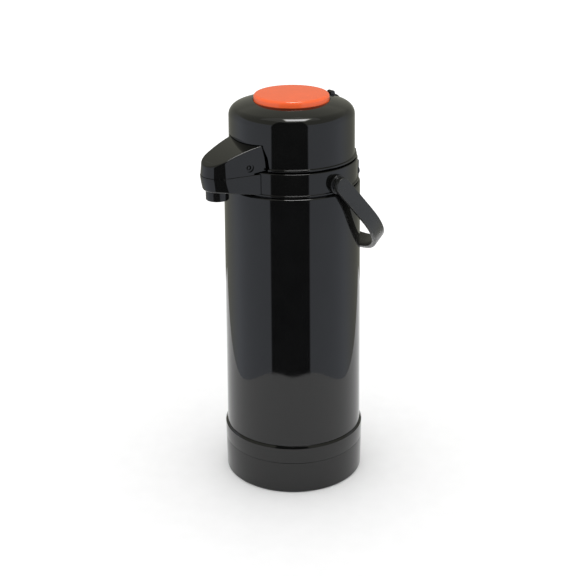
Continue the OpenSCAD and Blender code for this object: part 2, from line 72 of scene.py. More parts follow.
BASE_TAPER = 0.5
BASE_LEDGE_H = 2.3
BODY_TAPER = 3.0
BODY_LIP_H = 1.1
COLLAR_GAP = 1.2
BEAD_H = 2.2
BEAD_PROUD = 1.3
RIM_PROUD = 2.0
RIM_H = 2.2
BUTTON_PROUD = 6.7
HOOK_DROP = 8.0

BASE_R = half_x("base_collar")
BASE_FOOT_R = BASE_R - BASE_TAPER
BASE_SPLIT = top("base_cap")
BASE_LIP = top("base_collar")
BASE_TOP = BASE_LIP - BASE_LEDGE_H
BODY_FOOT_R = half_x("body_shell")
BODY_TOP_R = BODY_FOOT_R - BODY_TAPER
BODY_FOOT = foot("body_shell")
BODY_TOP = top("body_shell") - BODY_LIP_H
BEAD_R = half_x("collar")
COLLAR_R = BEAD_R - BEAD_PROUD
COLLAR_FOOT = BODY_TOP + COLLAR_GAP
COLLAR_TOP = top("collar")
LID_RIM_R = half_x("lid_shell")
LID_R = LID_RIM_R - RIM_PROUD
LID_FOOT = foot("lid_shell")
BUTTON_R = half_x("button")
BUTTON_TOP = top("button")
LID_TOP = BUTTON_TOP - BUTTON_PROUD
SPOUT_SPLIT = foot("latch_lever") + HOOK_DROP
SPOUT_FLOOR = 355.3
NOZZLE_Y = middle_y("nozzle")
PIVOT_Z = (foot("pivot_bosses") + top("pivot_bosses")) / 2
PIVOT_Y = middle_y("pivot_pins")
HANDLE_HALF = half_x("handle")

# Clearance of a face that rests on another, and heights beyond both ends of what a cutter cuts.
TOUCH = 0.02
BELOW, ABOVE = 300, 420


# ---------------------------------------------------------------- mesh tools

ROUND_STEPS = 192
SHARP = 32
WELD = 1e-6
SLIVER = 1e-7


def arc(cx, cy, r, a0, a1, steps=8):
    """Points of an arc from angle a0 to a1, in degrees."""
    turn = [math.radians(a0 + (a1 - a0) * i / steps) for i in range(steps + 1)]
    return [(cx + r * math.cos(a), cy + r * math.sin(a)) for a in turn]


def rounded(corners, steps=5):
    """Closed outline through (x, y, radius) corners, each turned into an arc of its radius."""
    out = []
    count = len(corners)
    for i, (x, y, r) in enumerate(corners):
        if r == 0:
            out.append((x, y))
            continue
        here = Vector((x, y))
        back = Vector(corners[i - 1][:2]) - here
        ahead = Vector(corners[(i + 1) % count][:2]) - here
        half = back.angle(ahead) / 2
        reach = min(r / math.tan(half), back.length * 0.49, ahead.length * 0.49)
        start = here + back.normalized() * reach
        end = here + ahead.normalized() * reach
        for k in range(steps + 1):
            t = k / steps
            # a quadratic curve through the corner's two tangent points
            p = start * (1 - t) ** 2 + here * 2 * t * (1 - t) + end * t ** 2
            out.append((p.x, p.y))
    return out


def finish_mesh(name, verts, faces, sharp=SHARP):
    """A new object from millimetre points, with outward normals and smooth shading up to an angle."""
    mesh = bpy.data.meshes.new(name)
    mesh.from_pydata([tuple(c * MM for c in v) for v in verts], [], faces)
    work = bmesh.new()
    work.from_mesh(mesh)
    bmesh.ops.remove_doubles(work, verts=work.verts, dist=WELD)
    bmesh.ops.dissolve_degenerate(work, edges=work.edges, dist=SLIVER)
    bmesh.ops.recalc_face_normals(work, faces=work.faces)
    work.to_mesh(mesh)
    work.free()
    smooth(mesh, sharp)
    obj = bpy.data.objects.new(name, mesh)
    bpy.context.scene.collection.objects.link(obj)
    return obj


def smooth(mesh, sharp=SHARP):
    """Smooth shading, except across edges that turn by more than an angle."""
    mesh.polygons.foreach_set("use_smooth", [True] * len(mesh.polygons))
    mesh.set_sharp_from_angle(angle=math.radians(sharp))


def lathe(name, outline, steps=ROUND_STEPS, sharp=SHARP):
    """Turns a closed (radius, height) outline about Z."""
    count = len(outline)
    verts = []
    faces = []
    for i in range(steps):
        a = 2 * math.pi * i / steps
        verts += [(r * math.cos(a), r * math.sin(a), z) for r, z in outline]
    for i in range(steps):
        for j in range(count):
            a, b = i * count, (i + 1) % steps * count
            k = (j + 1) % count
            faces.append((a + j, b + j, b + k, a + k))
    return finish_mesh(name, verts, faces, sharp)


def prism(name, outline, low, high, axis="z", sharp=SHARP):
    """Extrudes a closed outline: (x, y) along z, (y, z) along x, or (x, z) along y."""
    at = {"z": lambda p, h: (p[0], p[1], h), "x": lambda p, h: (h, p[0], p[1]),
          "y": lambda p, h: (p[0], h, p[1])}[axis]
    count = len(outline)
    verts = [at(p, low) for p in outline] + [at(p, high) for p in outline]
    faces = [tuple(range(count)), tuple(range(2 * count - 1, count - 1, -1))]
    faces += [(i, (i + 1) % count, (i + 1) % count + count, i + count) for i in range(count)]
    return finish_mesh(name, verts, faces, sharp)


def rod(name, r, low, high, centre=(0, 0), axis="z", steps=64):
    """A round cutter or boss along an axis."""
    cx, cy = centre
    return prism(name, arc(cx, cy, r, 0, 360 - 360 / steps, steps - 1), low, high, axis)


def drum(name, r, low, high):
    """A large round cutter about the pot's axis."""
    return rod(name, r, low, high, steps=ROUND_STEPS)


def block(name, low, high):
    """A plain box, to cut with or to join on."""
    (x0, y0, z0), (x1, y1, z1) = low, high
    return prism(name, [(x0, y0), (x1, y0), (x1, y1), (x0, y1)], z0, z1)


def apply_modifiers(obj, sharp=SHARP):
    """Bakes an object's modifiers into its mesh."""
    graph = bpy.context.evaluated_depsgraph_get()
    mesh = bpy.data.meshes.new_from_object(obj.evaluated_get(graph))
    obj.modifiers.clear()
    obj.data = mesh
    smooth(mesh, sharp)


def combine(obj, operation, others, sharp=SHARP):
    """Cuts, joins or intersects an object with others, which are then removed."""
    for other in others:
        mod = obj.modifiers.new("combine", "BOOLEAN")
        mod.operation = operation
        mod.solver = "EXACT"
        mod.object = other
        apply_modifiers(obj, sharp)
        bpy.data.objects.remove(other)
    work = bmesh.new()
    work.from_mesh(obj.data)
    bmesh.ops.remove_doubles(work, verts=work.verts, dist=2 * WELD)
    bmesh.ops.dissolve_degenerate(work, edges=work.edges, dist=2 * WELD)
    work.to_mesh(obj.data)
    work.free()
    smooth(obj.data, sharp)
    return obj


def cut(obj, *others):
    return combine(obj, "DIFFERENCE", others)


def join(obj, *others):
    return combine(obj, "UNION", others)


def bevel(obj, width, steps=3, angle=35):
    """Rounds an object's sharp edges."""
    mod = obj.modifiers.new("bevel", "BEVEL")
    mod.width = width * MM
    mod.segments = steps
    mod.limit_method = "ANGLE"
    mod.angle_limit = math.radians(angle)
    mod.use_clamp_overlap = True
    mod.harden_normals = True
    return obj


def place(obj, body, slot, material, *nodes):
    """Makes a piece ride on its body, in place of CAD nodes, with its finish."""
    obj.data.materials.clear()
    obj.data.materials.append(material)
    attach(obj, body)
    if nodes:
        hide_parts(*nodes)
    return obj


# ---------------------------------------------------------------- materials

def surface(name, color, rough, rough_span=0.04, grain=900, grain_mm=0.004, mottle=0.12, **sockets):
    """A procedural finish: mottled colour, uneven gloss and a fine moulded or sprayed grain."""
    mat = bpy.data.materials.new(name)
    mat.use_nodes = True
    nodes, links = mat.node_tree.nodes, mat.node_tree.links
    shader = nodes["Principled BSDF"]
    coords = nodes.new("ShaderNodeTexCoord")

    def noise(scale, detail):
        node = nodes.new("ShaderNodeTexNoise")
        node.inputs["Scale"].default_value = scale
        node.inputs["Detail"].default_value = detail
        links.new(coords.outputs["Object"], node.inputs["Vector"])
        return node.outputs["Fac"]

    def spread(source, low, high):
        node = nodes.new("ShaderNodeMapRange")
        node.inputs["From Min"].default_value = 0.3
        node.inputs["From Max"].default_value = 0.7
        node.inputs["To Min"].default_value = low
        node.inputs["To Max"].default_value = high
        links.new(source, node.inputs["Value"])
        return node.outputs["Result"]

    tint = nodes.new("ShaderNodeMix")
    tint.data_type = "RGBA"
    links.new(spread(noise(45, 3), 0, 1), tint.inputs["Factor"])
    tint.inputs["A"].default_value = (*[c * (1 - mottle) for c in color], 1)
    tint.inputs["B"].default_value = (*[c * (1 + mottle) for c in color], 1)
    links.new(tint.outputs["Result"], shader.inputs["Base Color"])
    links.new(spread(noise(120, 4), rough - rough_span, rough + rough_span), shader.inputs["Roughness"])
    bump = nodes.new("ShaderNodeBump")
    bump.inputs["Distance"].default_value = grain_mm * MM
    links.new(noise(grain, 2), bump.inputs["Height"])
    links.new(bump.outputs["Normal"], shader.inputs["Normal"])
    for socket, value in sockets.items():
        shader.inputs[socket.replace("_", " ")].default_value = value
    return mat


GLOSS = surface("gloss_black", (0.0036, 0.0037, 0.0036), 0.035, 0.01, 700, 0.0012)
PAINT = surface("body_paint", (0.0036, 0.0037, 0.0038), 0.045, 0.015, 420, 0.0015)
SATIN = surface("satin_black", (0.011, 0.0115, 0.011), 0.3, 0.05, 2600, 0.02)
OUTLET = surface("outlet_black", (0.004, 0.004, 0.004), 0.16, 0.04, 1500, 0.006)
ORANGE = surface("orange_button", (0.86, 0.124, 0.032), 0.13, 0.02, 1200, 0.003, 0.03)
GREY = surface("inner_grey", (0.3, 0.31, 0.32), 0.4, 0.06, 2200, 0.02)
SILVER = surface("silvered_glass", (0.8, 0.82, 0.82), 0.06, 0.02, 90, 0.03, 0.03, Metallic=1.0)
RUBBER = surface("seal_rubber", (0.02, 0.02, 0.02), 0.6, 0.08, 3000, 0.03)
BELLOWS = surface("bellows_rubber", (0.12, 0.12, 0.12), 0.5, 0.08, 2500, 0.02)
TUBE = surface("clear_tube", (0.72, 0.72, 0.66), 0.25, 0.05, 1200, 0.01, 0.04, Subsurface_Weight=0.3)
STEEL = surface("steel", (0.6, 0.6, 0.6), 0.25, 0.08, 5000, 0.01, 0.06, Metallic=1.0)
FELT = surface("felt", (0.6, 0.55, 0.46), 0.9, 0.05, 2500, 0.2, 0.15, Sheen_Weight=0.3)
FINISH = {"gloss_black": GLOSS, "body_paint": PAINT, "satin_black": SATIN, "outlet_black": OUTLET,
          "orange_button": ORANGE, "inner_grey": GREY, "silvered_glass": SILVER, "seal_rubber": RUBBER,
          "bellows_rubber": BELLOWS, "clear_tube": TUBE, "steel": STEEL, "felt": FELT}


def finish_cad_nodes():
    """Gives every CAD node the procedural finish of its material slot."""
    slots = {part["node"]: part["material_slot"] for part in frame["record"]["subparts"]}
    for node, obj in frame["nodes"].items():
        obj.data.materials.clear()
        obj.data.materials.append(FINISH[slots[node]])


# ---------------------------------------------------------------- base, body and collar

def make_base():
    """The base's two tiers, with the upper one's tongue inside the cap, and the foot ring in its groove."""
    floor_z = foot("base_cap")
    groove_in, groove_out = half_x("foot_ring") - 6.2, half_x("foot_ring") + 0.2
    groove_z = floor_z + 1.5
    wall = 2.6
    plate = 3
    cap = lathe("base_cap_shell", rounded([
        (0, floor_z, 0), (groove_in, floor_z, 0.4), (groove_in, groove_z, 0),
        (groove_out, groove_z, 0), (groove_out, floor_z, 0.4), (BASE_FOOT_R, floor_z, 1.6),
        (BASE_R - 0.2, BASE_SPLIT, 0.4), (BASE_R - wall, BASE_SPLIT, 0.3),
        (BASE_FOOT_R - wall, floor_z + plate, 2), (0, floor_z + plate, 0)]))
    place(cap, "vessel", "gloss_black", GLOSS, "base_cap")
    tongue_in, tongue_out = BASE_R - 5.4, BASE_R - 2.8
    tongue_z = BASE_SPLIT - 8
    inside_r = BODY_FOOT_R - 3
    collar = lathe("base_collar_ring", rounded([
        (tongue_in, tongue_z, 0.3), (tongue_out, tongue_z, 0.3),
        (tongue_out, BASE_SPLIT + 0.1, 0), (BASE_R - 0.1, BASE_SPLIT + 0.1, 0.4),
        (BASE_R, BASE_TOP, 0.5), (BODY_FOOT_R + 0.3, BASE_LIP, 0.2),
        (inside_r, BASE_LIP, 0.3), (inside_r, BASE_SPLIT + 4, 0.3)]))
    place(collar, "vessel", "gloss_black", GLOSS, "base_collar")
    ring = lathe("foot_ring_rubber", rounded([
        (groove_in + 0.2, 0, 0.6), (groove_out - 0.2, 0, 0.6),
        (groove_out - 0.2, floor_z + 1.4, 0.2), (groove_in + 0.2, floor_z + 1.4, 0.2)]))
    place(ring, "vessel", "seal_rubber", RUBBER, "foot_ring")


def make_body():
    """The tapering outer tube, with a rounded shoulder and a short neck under the collar."""
    wall = 1
    shoulder = 1.8
    neck_r = COLLAR_R - wall
    lip_z = BODY_TOP - shoulder
    side = [(BODY_FOOT_R + (BODY_TOP_R - BODY_FOOT_R) * k / 8, BODY_FOOT + (lip_z - BODY_FOOT) * k / 8)
            for k in range(1, 8)]
    shell = lathe("body_shell_tube", [
        (BODY_FOOT_R - 0.3, BODY_FOOT), (BODY_FOOT_R, BODY_FOOT + 0.4), *side,
        *arc(BODY_TOP_R - shoulder, lip_z, shoulder, 0, 90, 10), (neck_r, BODY_TOP),
        (neck_r, COLLAR_FOOT - 0.1), (neck_r - wall, COLLAR_FOOT - 0.1), (neck_r - wall, BODY_TOP - wall),
        (BODY_TOP_R - shoulder, BODY_TOP - wall), (BODY_TOP_R - wall, lip_z),
        (BODY_FOOT_R - wall, BODY_FOOT)])
    place(shell, "vessel", "body_paint", PAINT, "body_shell")


def make_collar():
    """The band between the beads, with the filling funnel inside it and a hole for the outlet hose."""
    mouth_r, mouth_floor, hole_r = 43.5, 353.5, 30
    wall = 2.4
    ring = lathe("collar_band", rounded([
        (hole_r, mouth_floor, 0.5), (mouth_r + wall, mouth_floor, 0.5),
        (mouth_r + wall, COLLAR_TOP - wall, 0.4), (COLLAR_R - wall, COLLAR_TOP - wall, 0.4),
        (COLLAR_R - wall, COLLAR_FOOT, 0.3), (BEAD_R, COLLAR_FOOT, 1), (BEAD_R, COLLAR_FOOT + BEAD_H, 1),
        (COLLAR_R, COLLAR_FOOT + BEAD_H, 0.4), (COLLAR_R, COLLAR_TOP, 1.2),
        (mouth_r, COLLAR_TOP, 0.9), (mouth_r, mouth_floor + wall, 1.5), (hole_r, mouth_floor + wall, 0.6)]))
    tube_r, hose_hole_r = 3.6, 3.7
    tube_z = top("outlet_tube") - tube_r
    cut(ring, rod("tube_hole", hose_hole_r, -80, -30, (0, tube_z), "y"))
    place(ring, "vessel", "gloss_black", GLOSS, "collar")


# ---------------------------------------------------------------- spout

SPOUT_TAPER = math.radians(14)
SPOUT_FRONT_R = 21.9
SPOUT_FRONT_Y = -94.2
SPOUT_LEAN = 0.11
ROUND_START_Y = -92
ROUND_SPAN = 18
FLOOR_LEVEL_Y = -97
FLOOR_SLOPE = 0.18
FRONT_TUCK = 1.7
PARTING = 0.2
HOUSING_SIDE_Y = [-50, -56, -60, -64, -68, -72, -76, -80, -84, -88, -92, -96]


def spout_ring(side_ys, steps=40):
    """Points (x, y) and outward normals of the spout from above, from +X round the front to -X."""
    sin, cos = math.sin(SPOUT_TAPER), math.cos(SPOUT_TAPER)
    side = [((SPOUT_FRONT_R + (y - SPOUT_FRONT_Y) * sin) / cos, y, cos, -sin) for y in side_ys]
    front = []
    for k in range(steps + 1):
        a = -SPOUT_TAPER - (math.pi - 2 * SPOUT_TAPER) * k / steps
        front.append((SPOUT_FRONT_R * math.cos(a), SPOUT_FRONT_Y + SPOUT_FRONT_R * math.sin(a),
                      math.cos(a), math.sin(a)))
    return side + front + [(-x, y, -nx, ny) for x, y, nx, ny in reversed(side)]


def frontness(y):
    """0 along the spout's straight sides, 1 round its front."""
    t = min(max((ROUND_START_Y - y) / ROUND_SPAN, 0), 1)
    return t * t * (3 - 2 * t)


def skin_faces(rows, count, start=0):
    """Quads between neighbouring rows of an open skin."""
    return [(start + k * count + i, start + k * count + i + 1, start + (k + 1) * count + i + 1,
             start + (k + 1) * count + i) for k in range(rows - 1) for i in range(count - 1)]


def strip_faces(start, count):
    """Quads across a row, from each point to its mirror image."""
    middle = count // 2
    faces = [(start + i, start + i + 1, start + count - 2 - i, start + count - 1 - i)
             for i in range(middle - 1)]
    return faces + [(start + middle - 1, start + middle, start + middle + 1)]


def housing_floor(y):
    """The housing's underside, which rises evenly to a level part round the nozzle."""
    return SPOUT_FLOOR - FLOOR_SLOPE * max(0, y - FLOOR_LEVEL_Y)


def housing_edge(y):
    """Radius of the rounding under the housing, larger round its front."""
    return 1.0 + 2.6 * frontness(y)


def housing_skin():
    """Points and faces of the housing as a solid: round its lower edge, up its walls and closed on top."""
    ring = spout_ring(HOUSING_SIDE_Y)
    high = SPOUT_SPLIT - PARTING
    rows = []
    for k in range(7):
        a = math.pi / 2 * k / 6
        row = []
        for x, y, nx, ny in ring:
            edge = housing_edge(y)
            depth = edge * (1 - math.sin(a)) + FRONT_TUCK * frontness(y)
            row.append((x - nx * depth, y - ny * depth, housing_floor(y) + edge * (1 - math.cos(a))))
        rows.append(row)
    for t, ease in ((0.2, 0), (0.4, 0), (0.6, 0), (0.8, 0), (0.96, 0), (0.985, 0.15), (1, 0.5)):
        row = []
        for x, y, nx, ny in ring:
            low = housing_floor(y) + housing_edge(y)
            depth = FRONT_TUCK * frontness(y) * (1 - t) ** 1.6 + ease
            row.append((x - nx * depth, y - ny * depth, low + (high - low) * t))
        rows.append(row)
    count = len(ring)
    verts = [v for row in rows for v in row]
    last = (len(rows) - 1) * count
    faces = skin_faces(len(rows), count) + strip_faces(0, count) + strip_faces(last, count)
    faces += [(k * count, (k + 1) * count, (k + 2) * count - 1, (k + 1) * count - 1)
              for k in range(len(rows) - 1)]
    return verts, faces


def make_spout_housing():
    """The lower half of the spout: a trough with a seam round the collar and a sleeve that joins it."""
    seam = 0.8
    sleeve_inset, inside_inset = 1.2, 2.4
    sleeve_foot, inside_foot = 352, 359
    nozzle_hole_r = 9.7
    bead_top = COLLAR_FOOT + BEAD_H
    housing = finish_mesh("spout_housing_shell", *housing_skin())
    inside = [(x - nx * inside_inset, y - ny * inside_inset)
              for x, y, nx, ny in spout_ring([-40, -70, -96])]
    sides = spout_ring([-50, -68])
    sleeve = prism("sleeve", [(x - nx * sleeve_inset, y - ny * sleeve_inset)
                              for x, y, nx, ny in sides[:2] + sides[-2:]],
                   sleeve_foot, SPOUT_SPLIT - PARTING - 0.6)
    cut(sleeve, drum("collar_core", COLLAR_R + TOUCH, BELOW, ABOVE))
    cut(housing, drum("collar_space", COLLAR_R + seam, BELOW, ABOVE))
    join(housing, sleeve)
    cut(housing, prism("inside", inside, inside_foot, 400),
        drum("bead_space", BEAD_R + TOUCH, BELOW, bead_top + 0.1),
        rod("nozzle_seat", half_x("nozzle") + 0.05, 330, SPOUT_FLOOR, (0, NOZZLE_Y)),
        rod("nozzle_hole", nozzle_hole_r, 330, 370, (0, NOZZLE_Y)))
    place(bevel(housing, 0.2, 2), "vessel", "gloss_black", GLOSS, "spout_housing")


def make_nozzle():
    """The outlet: a hollow plug that is seated in the housing's floor."""
    low, high = foot("nozzle"), SPOUT_FLOOR
    r = half_x("nozzle")
    bore_r = 3.65
    plug_r = r - 2.6
    recess = 3
    outlet = lathe("nozzle_outlet", rounded([
        (bore_r, low + recess, 0.3), (r - 2.5, low + recess, 0.5), (r - 2.2, low, 0.8), (r, low, 1.6),
        (r, high - 0.05, 0.3), (plug_r, high, 0), (plug_r, high + 2.5, 0.3),
        (bore_r, high + 2.5, 0.3)]), 128)
    for v in outlet.data.vertices:
        v.co.y += NOZZLE_Y * MM
    place(outlet, "vessel", "outlet_black", OUTLET, "nozzle")


# ---------------------------------------------------------------- latch lever

LATCH_Y, LATCH_Z = -76.2, 380.0
LEVER_REAR_Y = -59.1
RIDGE_REAR_Z = 401.9
RIDGE_SLOPE = 0.16
RIDGE_BEND = 0.003
STEP_REAR_Y, STEP_FRONT_Y = -71.6, -72.5
STEP_TOP = 374.0
LEVER_SIDE_Y = [LEVER_REAR_Y, -61, -63, -65, -68, STEP_REAR_Y, STEP_FRONT_Y, -74, -76, -80, -84, -88,
                -92, -96]
DIMPLE_R = 4.6
DIMPLE_X = 26.2


def ridge(y):
    """Height of the lever's top, which falls faster towards the front."""
    t = LEVER_REAR_Y - y
    return RIDGE_REAR_Z - RIDGE_SLOPE * t - RIDGE_BEND * t * t


def lever_low(y):
    """Height of the lever's lower edge, raised at the rear to clear the collar."""
    if y <= STEP_FRONT_Y:
        return SPOUT_SPLIT + PARTING
    if y <= STEP_REAR_Y:
        return SPOUT_SPLIT + 0.3 + (y - STEP_FRONT_Y) * 1.9
    return STEP_TOP + (y - STEP_REAR_Y) * 0.12


def lever_rows(inset, edge_side, edge_front):
    """Rows of the lever's skin: up its leaning walls, round its top edge and a little way in."""
    ring = spout_ring(LEVER_SIDE_Y)
    tan = math.tan(SPOUT_TAPER)

    def point(x, y, nx, ny, depth, z):
        px, py = x - nx * depth, y - ny * depth
        if py > LEVER_REAR_Y:
            px -= math.copysign((py - LEVER_REAR_Y) * tan, px)
            py = LEVER_REAR_Y
        return px, py, z

    rows = []
    steps = [("wall", k / 8) for k in range(8)] + [("edge", k / 6) for k in range(7)] + [("top", 1.0)]
    for part, t in steps:
        row = []
        for x, y, nx, ny in ring:
            r = edge_side + (edge_front - edge_side) * frontness(y)
            high = ridge(y) - inset - r
            lean = SPOUT_LEAN * (high - SPOUT_SPLIT)
            if part == "wall":
                z = lever_low(y) + (high - lever_low(y)) * t
                row.append(point(x, y, nx, ny, inset + SPOUT_LEAN * (z - SPOUT_SPLIT), z))
                continue
            a = math.pi / 2 * t
            depth = inset + lean + r * (1 - math.cos(a)) + (0.8 if part == "top" else 0)
            px, py, _ = point(x, y, nx, ny, depth, 0)
            row.append((px, py, ridge(py) - inset - r * (1 - math.sin(a))))
        rows.append(row)
    return rows


def dimple(side):
    """Cutter for the round recess over one end of the latch pin, square to the leaning wall."""
    tool = rod("dimple", DIMPLE_R, -1.6, 20, (0, LATCH_Z), "x")
    turn = Matrix.Rotation(-SPOUT_TAPER if side > 0 else math.pi + SPOUT_TAPER, 3, "Z")
    for v in tool.data.vertices:
        v.co = turn @ v.co + Vector((side * DIMPLE_X, LATCH_Y, 0)) * MM
    return tool


def make_lever():
    """The upper half of the spout: an open shell that turns on the latch pin."""
    wall = 2
    skins = [lever_rows(0.3, 1.1, 1.7), lever_rows(0.3 + wall, 0.5, 0.8)]
    rows, count = len(skins[0]), len(skins[0][0])
    verts = [v for skin in skins for row in skin for v in row]
    inner = rows * count
    end = (rows - 1) * count
    faces = skin_faces(rows, count) + skin_faces(rows, count, inner)
    faces += strip_faces(end, count) + strip_faces(inner + end, count)
    faces += [(i, i + 1, inner + i + 1, inner + i) for i in range(count - 1)]
    for k in range(rows - 1):
        for i in (0, count - 1):
            a = k * count + i
            faces.append((a, a + count, inner + a + count, inner + a))
    faces.append((end, end + count - 1, inner + end + count - 1, inner + end))
    pin_r, pin_hole_r = 2.5, 2.56
    hook_half, hook_y, hook_foot = 6, -107, 364
    lever = finish_mesh("latch_lever_cover", verts, faces, 40)
    cut(lever, rod("pin_hole", pin_hole_r, -60, 60, (LATCH_Y, LATCH_Z), "x"), dimple(1), dimple(-1))
    join(lever, block("hook", (-hook_half, hook_y - 2, hook_foot),
                      (hook_half, hook_y + 2, ridge(hook_y) - 1)))
    place(lever, "latch", "gloss_black", GLOSS, "latch_lever")
    end_x = half_x("latch_pin")
    pin = lathe("latch_pin_screw", rounded([
        (0, -end_x, 0), (1.6, -end_x + 0.25, 0.9), (pin_r, -end_x + 1.2, 0.6),
        (pin_r, end_x - 1.2, 0.6), (1.6, end_x - 0.25, 0.9), (0, end_x, 0)]), 48)
    for v in pin.data.vertices:
        v.co = Vector((v.co.z, LATCH_Y * MM + v.co.y, LATCH_Z * MM - v.co.x))
    place(pin, "lid", "steel", GLOSS, "latch_pin")


# ---------------------------------------------------------------- lid and button

LID_ROUND = 11.2
LID_DOME = 111.0
DOME_AXIS_R = 21.5
WELL_R = BUTTON_R + 0.6
WELL_FOOT = 404
DOME_AXIS_Z = LID_TOP - math.sqrt(LID_DOME ** 2 - (WELL_R - DOME_AXIS_R) ** 2)
ROUND_R = LID_R - 0.45 - LID_ROUND
DOME_ANGLE = math.asin((ROUND_R - DOME_AXIS_R) / (LID_DOME - LID_ROUND))
ROUND_Z = DOME_AXIS_Z + (LID_DOME - LID_ROUND) * math.cos(DOME_ANGLE)
LOCK_Y = 54.5


def lid_height(r):
    """Height of the lid's outside at radius r."""
    if r < ROUND_R + LID_ROUND * math.sin(DOME_ANGLE):
        return DOME_AXIS_Z + math.sqrt(LID_DOME ** 2 - (r - DOME_AXIS_R) ** 2)
    return ROUND_Z + math.sqrt(LID_ROUND ** 2 - (r - ROUND_R) ** 2)


def lid_curve(depth, r_end):
    """The lid's shoulder and domed top, moved in by depth, from its wall to radius r_end."""
    turn = math.degrees(DOME_ANGLE)
    last = math.degrees(math.acos((r_end - DOME_AXIS_R) / (LID_DOME - depth)))
    return (arc(ROUND_R, ROUND_Z, LID_ROUND - depth, 0, 90 - turn, 16)
            + arc(DOME_AXIS_R, DOME_AXIS_Z, LID_DOME - depth, 90 - turn, last, 12)[1:])


def pocket(name, extra):
    """The space in the lid that the lever's rear end turns in."""
    sweep = 28.4 + extra
    beside = 4.5 + extra
    above = 0.6 + extra
    half = spout_ring([LEVER_REAR_Y])[0][0] + beside
    turn_step = 3
    curve = []
    for y, z in arc(LATCH_Y, LATCH_Z, sweep, -90, 90, 180 // turn_step):
        if z > ridge(min(y, -50)) + above:
            break
        curve.append((y, z))
    outline = [(-90, LATCH_Z - sweep), *curve, *[(y, ridge(y) + above) for y in (-63, -75, -90)]]
    space = prism(name, outline, -half, half, "x")
    side = [(half, 340), (half, 376), (half - 2, 389), (half - 6.5, 400), (half - 8, ABOVE)]
    walls = side + [(-x, z) for x, z in reversed(side)]
    return combine(space, "INTERSECT", [prism("walls", walls, -130, -20, "y")])


def make_lid():
    """The domed lid, with the button's well, the pocket behind the lever and the slot of the lock slide."""
    wall = 2.2
    flange = [(LID_R - wall, LID_FOOT, 0.3), (LID_RIM_R, LID_FOOT, 0.9), (LID_RIM_R, LID_FOOT + RIM_H, 0.9),
              (LID_R, LID_FOOT + RIM_H + 0.2, 0.5)]
    outline = flange + [(r, z, 0) for r, z in lid_curve(0, WELL_R + 0.25)]
    outline += [(WELL_R + 0.07, LID_TOP - 0.08, 0), (WELL_R, LID_TOP - 0.3, 0), (WELL_R, WELL_FOOT, 0),
                (WELL_R + wall, WELL_FOOT, 0)]
    outline += [(r, z, 0) for r, z in reversed(lid_curve(wall, WELL_R + wall))]
    shell = lathe("lid_shell_cap", rounded(outline))
    walls = pocket("pocket_walls", wall)
    combine(walls, "INTERSECT", [lathe("lid_space", [
        (0, LID_FOOT + 3), (LID_R - 0.9, LID_FOOT + 3), *lid_curve(0.7, 30), (0, LID_TOP)])])
    join(shell, walls)
    slot_half = 2.3
    cut(shell, pocket("pocket_space", 0),
        block("lock_slot", (-slot_half, LOCK_Y - 2, ABOVE), (slot_half, LOCK_Y + 6, 445)))
    place(shell, "lid", "gloss_black", GLOSS, "lid_shell")


def make_button():
    """The orange cap, open below, with a rounded edge and a slightly crowned top."""
    edge = 3.2
    wall = 2.2
    skirt = foot("button")
    crown = 0.3
    rim = BUTTON_TOP - crown
    top_line = [(BUTTON_R - edge - (BUTTON_R - edge) * k / 8,
                 rim + crown * (1 - (1 - k / 8) ** 2)) for k in range(1, 9)]
    cap = lathe("push_button_cap", [
        (BUTTON_R - wall, skirt), (BUTTON_R - 0.2, skirt), (BUTTON_R, skirt + 0.4),
        *arc(BUTTON_R - edge, rim - edge, edge, 0, 90, 12), *top_line,
        (0, rim - wall), (BUTTON_R - edge, rim - wall), (BUTTON_R - wall, rim - edge)])
    place(cap, "button", "orange_button", ORANGE, "button")


def make_lock():
    """The slide behind the button: a knob with a low tail along the lid, and a tongue under the lid."""
    def over_lid(back, height, r):
        return LOCK_Y + back, lid_height(LOCK_Y + back) + height, r

    base = lid_height(LOCK_Y)
    knob_half, neck_half, tongue_half = 3.4, 1.8, 5.5
    under = [over_lid(-2.5, 0.15, 0), over_lid(2.5, 0.15, 0), over_lid(6, 0.15, 0), over_lid(9, 0.2, 0.2)]
    tail = [over_lid(9.4, 1.1, 0.3), over_lid(6.5, 1.4, 1), over_lid(3.5, 1.6, 0.8)]
    head = [(LOCK_Y + 2.7, base + 3.6, 0.8), (LOCK_Y + 1, base + 4.4, 0.8), (LOCK_Y - 1.2, base + 4.4, 0.8),
            (LOCK_Y - 2.5, base + 3.4, 0.8)]
    knob = prism("lock_knob", rounded(under + tail + head, 4), -knob_half, knob_half, "x")
    join(knob, block("neck", (-neck_half, LOCK_Y - 1.5, base - 7), (neck_half, LOCK_Y + 1.5, base + 2)),
         block("tongue", (-tongue_half, LOCK_Y - 5, base - 8), (tongue_half, LOCK_Y + 2, base - 6)))
    place(bevel(knob, 0.25, 2), "lock", "outlet_black", OUTLET, "button_lock")


# ---------------------------------------------------------------- hinge

HINGE_Y, HINGE_Z = 75.6, 368.0
KNUCKLE_R = 3.6
KNUCKLE_HALF = 6
AXLE_HOLE_R = 1.85
HINGE_STEP_Z = 357.0
RELEASE_Z = 342.5
RELEASE_R = 5
RELEASE_SIDE = 8


def release_outline(extra):
    r = RELEASE_R + extra
    return arc(RELEASE_SIDE, RELEASE_Z, r, -90, 90, 16) + arc(-RELEASE_SIDE, RELEASE_Z, r, 90, 270, 16)


